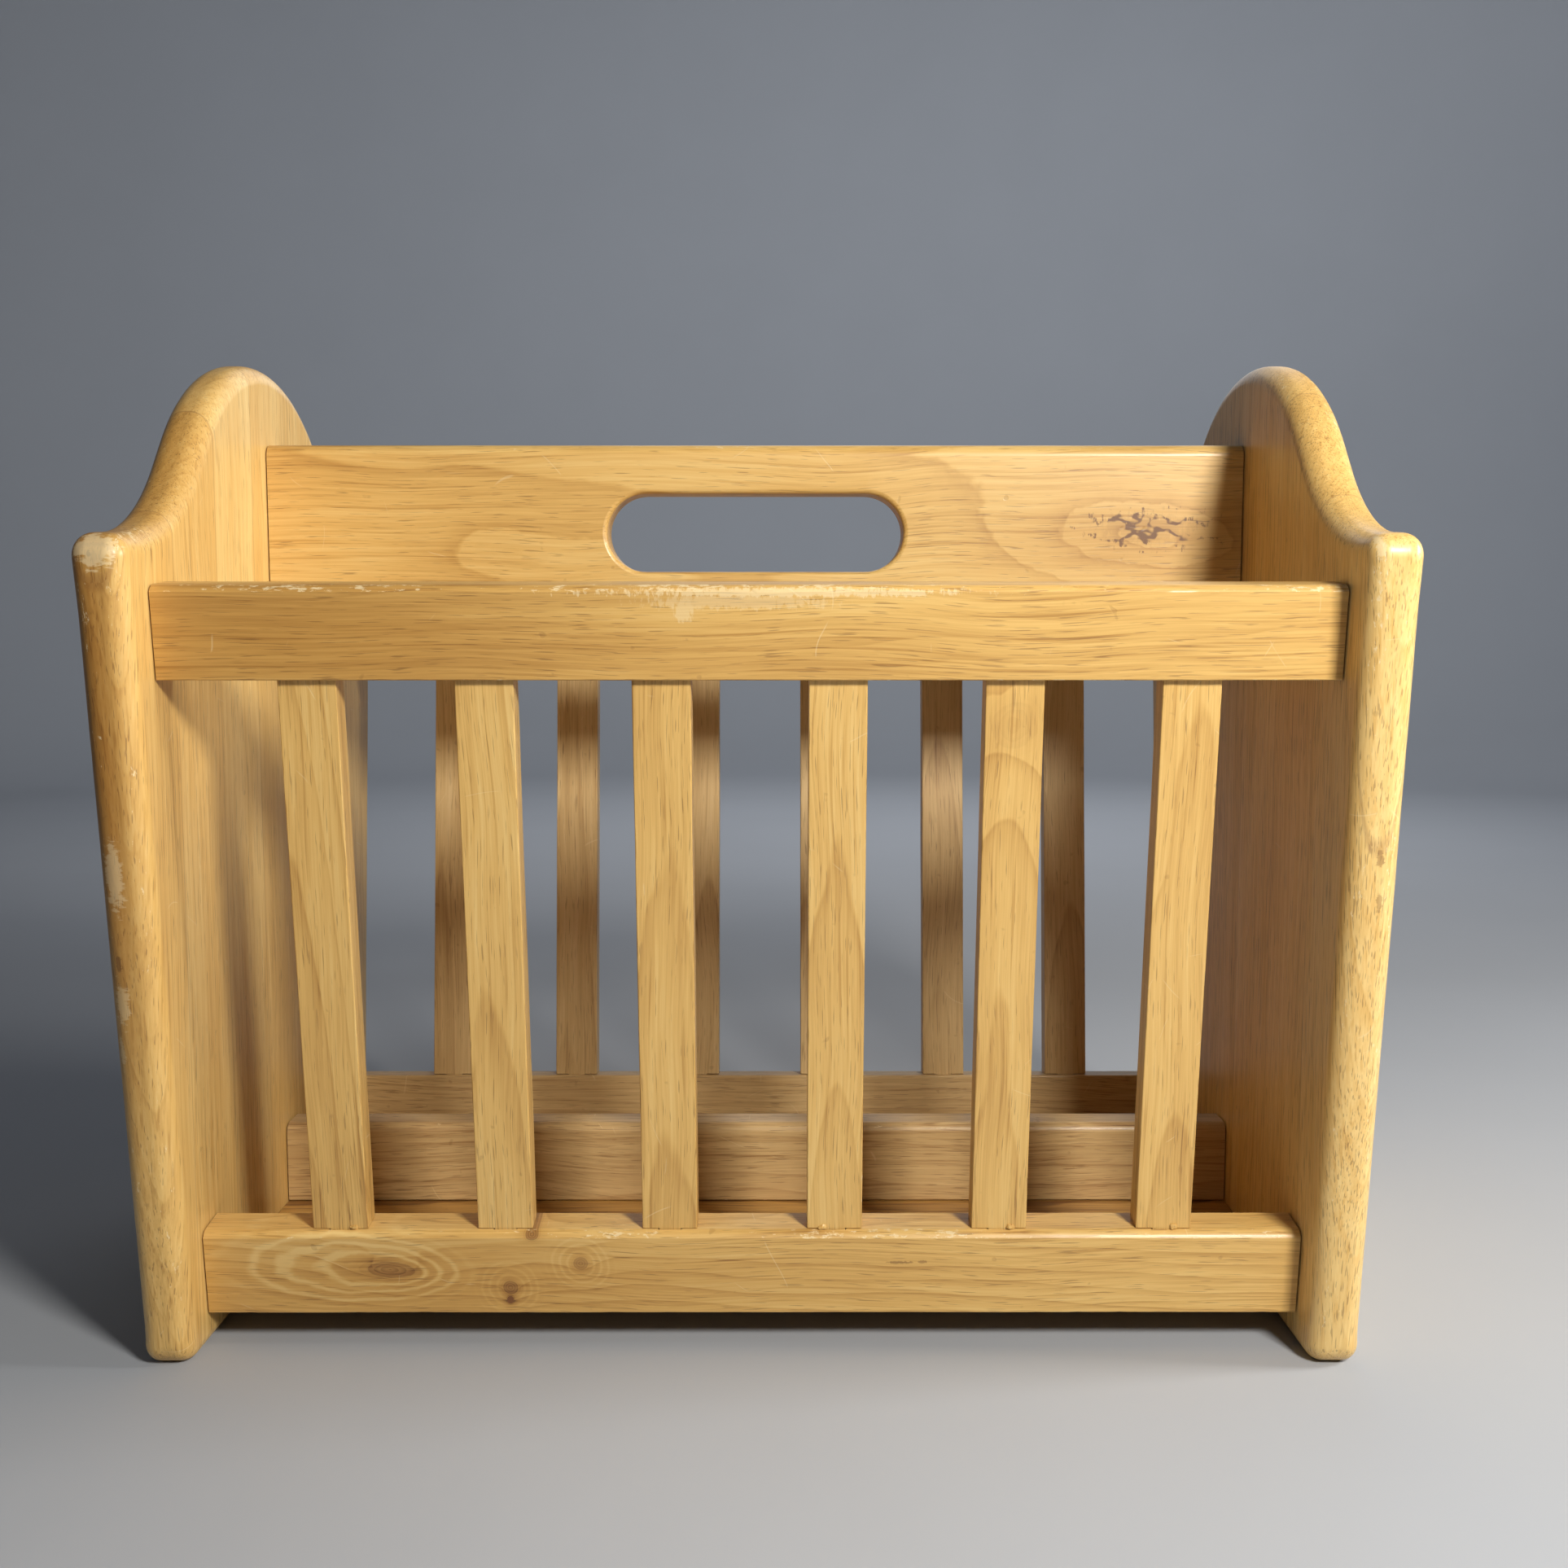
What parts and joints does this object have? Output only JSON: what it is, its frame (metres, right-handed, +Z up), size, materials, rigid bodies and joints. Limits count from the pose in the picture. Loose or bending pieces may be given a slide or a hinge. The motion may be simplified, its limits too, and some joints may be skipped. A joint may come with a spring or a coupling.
{
  "type": "magazine rack",
  "caption": "Free-standing wooden magazine rack: two ogee-topped end panels, leaning slatted sides forming two pockets, and a centre handle board with a long hand hole.",
  "frame": {"origin": "on the floor, centred between the end panels and between the two leaning sides", "axes": "+X along the rack from the left end panel to the right one, -Y out of the front, +Z up"},
  "size_m": [0.436, 0.3064, 0.37],
  "materials": {
    "end_panel": "satin clear lacquer on light hardwood, upright grain",
    "rail": "satin clear lacquer on light hardwood, grain along the rail",
    "slat": "satin clear lacquer on light hardwood, grain along the slat",
    "board": "satin clear lacquer on light hardwood, grain along the board",
    "floor_board": "thin satin lacquer on sheet timber",
    "dowel": "bare turned hardwood",
    "steel": "plain zinc-plated"
  },
  "bodies": {
    "root": {"end_panel_left": "end_panel", "end_panel_right": "end_panel", "front_top_rail": "rail", "front_bottom_rail": "rail", "front_slat_1": "slat", "front_slat_2": "slat", "front_slat_3": "slat", "front_slat_4": "slat", "front_slat_5": "slat", "front_slat_6": "slat", "back_top_rail": "rail", "back_bottom_rail": "rail", "back_slat_1": "slat", "back_slat_2": "slat", "back_slat_3": "slat", "back_slat_4": "slat", "back_slat_5": "slat", "back_slat_6": "slat", "handle_board": "board", "lower_centre_board": "board", "bottom_board": "floor_board", "dowel_front_top_rail_left_lower": "dowel", "dowel_front_top_rail_left_upper": "dowel", "dowel_front_top_rail_right_lower": "dowel", "dowel_front_top_rail_right_upper": "dowel", "dowel_front_bottom_rail_left_lower": "dowel", "dowel_front_bottom_rail_left_upper": "dowel", "dowel_front_bottom_rail_right_lower": "dowel", "dowel_front_bottom_rail_right_upper": "dowel", "dowel_back_top_rail_left_lower": "dowel", "dowel_back_top_rail_left_upper": "dowel", "dowel_back_top_rail_right_lower": "dowel", "dowel_back_top_rail_right_upper": "dowel", "dowel_back_bottom_rail_left_lower": "dowel", "dowel_back_bottom_rail_left_upper": "dowel", "dowel_back_bottom_rail_right_lower": "dowel", "dowel_back_bottom_rail_right_upper": "dowel", "dowel_handle_board_left_upper": "dowel", "dowel_handle_board_left_lower": "dowel", "dowel_centre_board_left": "dowel", "dowel_handle_board_right_upper": "dowel", "dowel_handle_board_right_lower": "dowel", "dowel_centre_board_right": "dowel", "front_bottom_pin_1": "steel", "front_bottom_pin_2": "steel", "front_bottom_pin_3": "steel", "back_bottom_pin_1": "steel", "back_bottom_pin_2": "steel", "back_bottom_pin_3": "steel", "centre_board_screw_1": "steel", "centre_board_screw_2": "steel"}
  },
  "joints": []
}
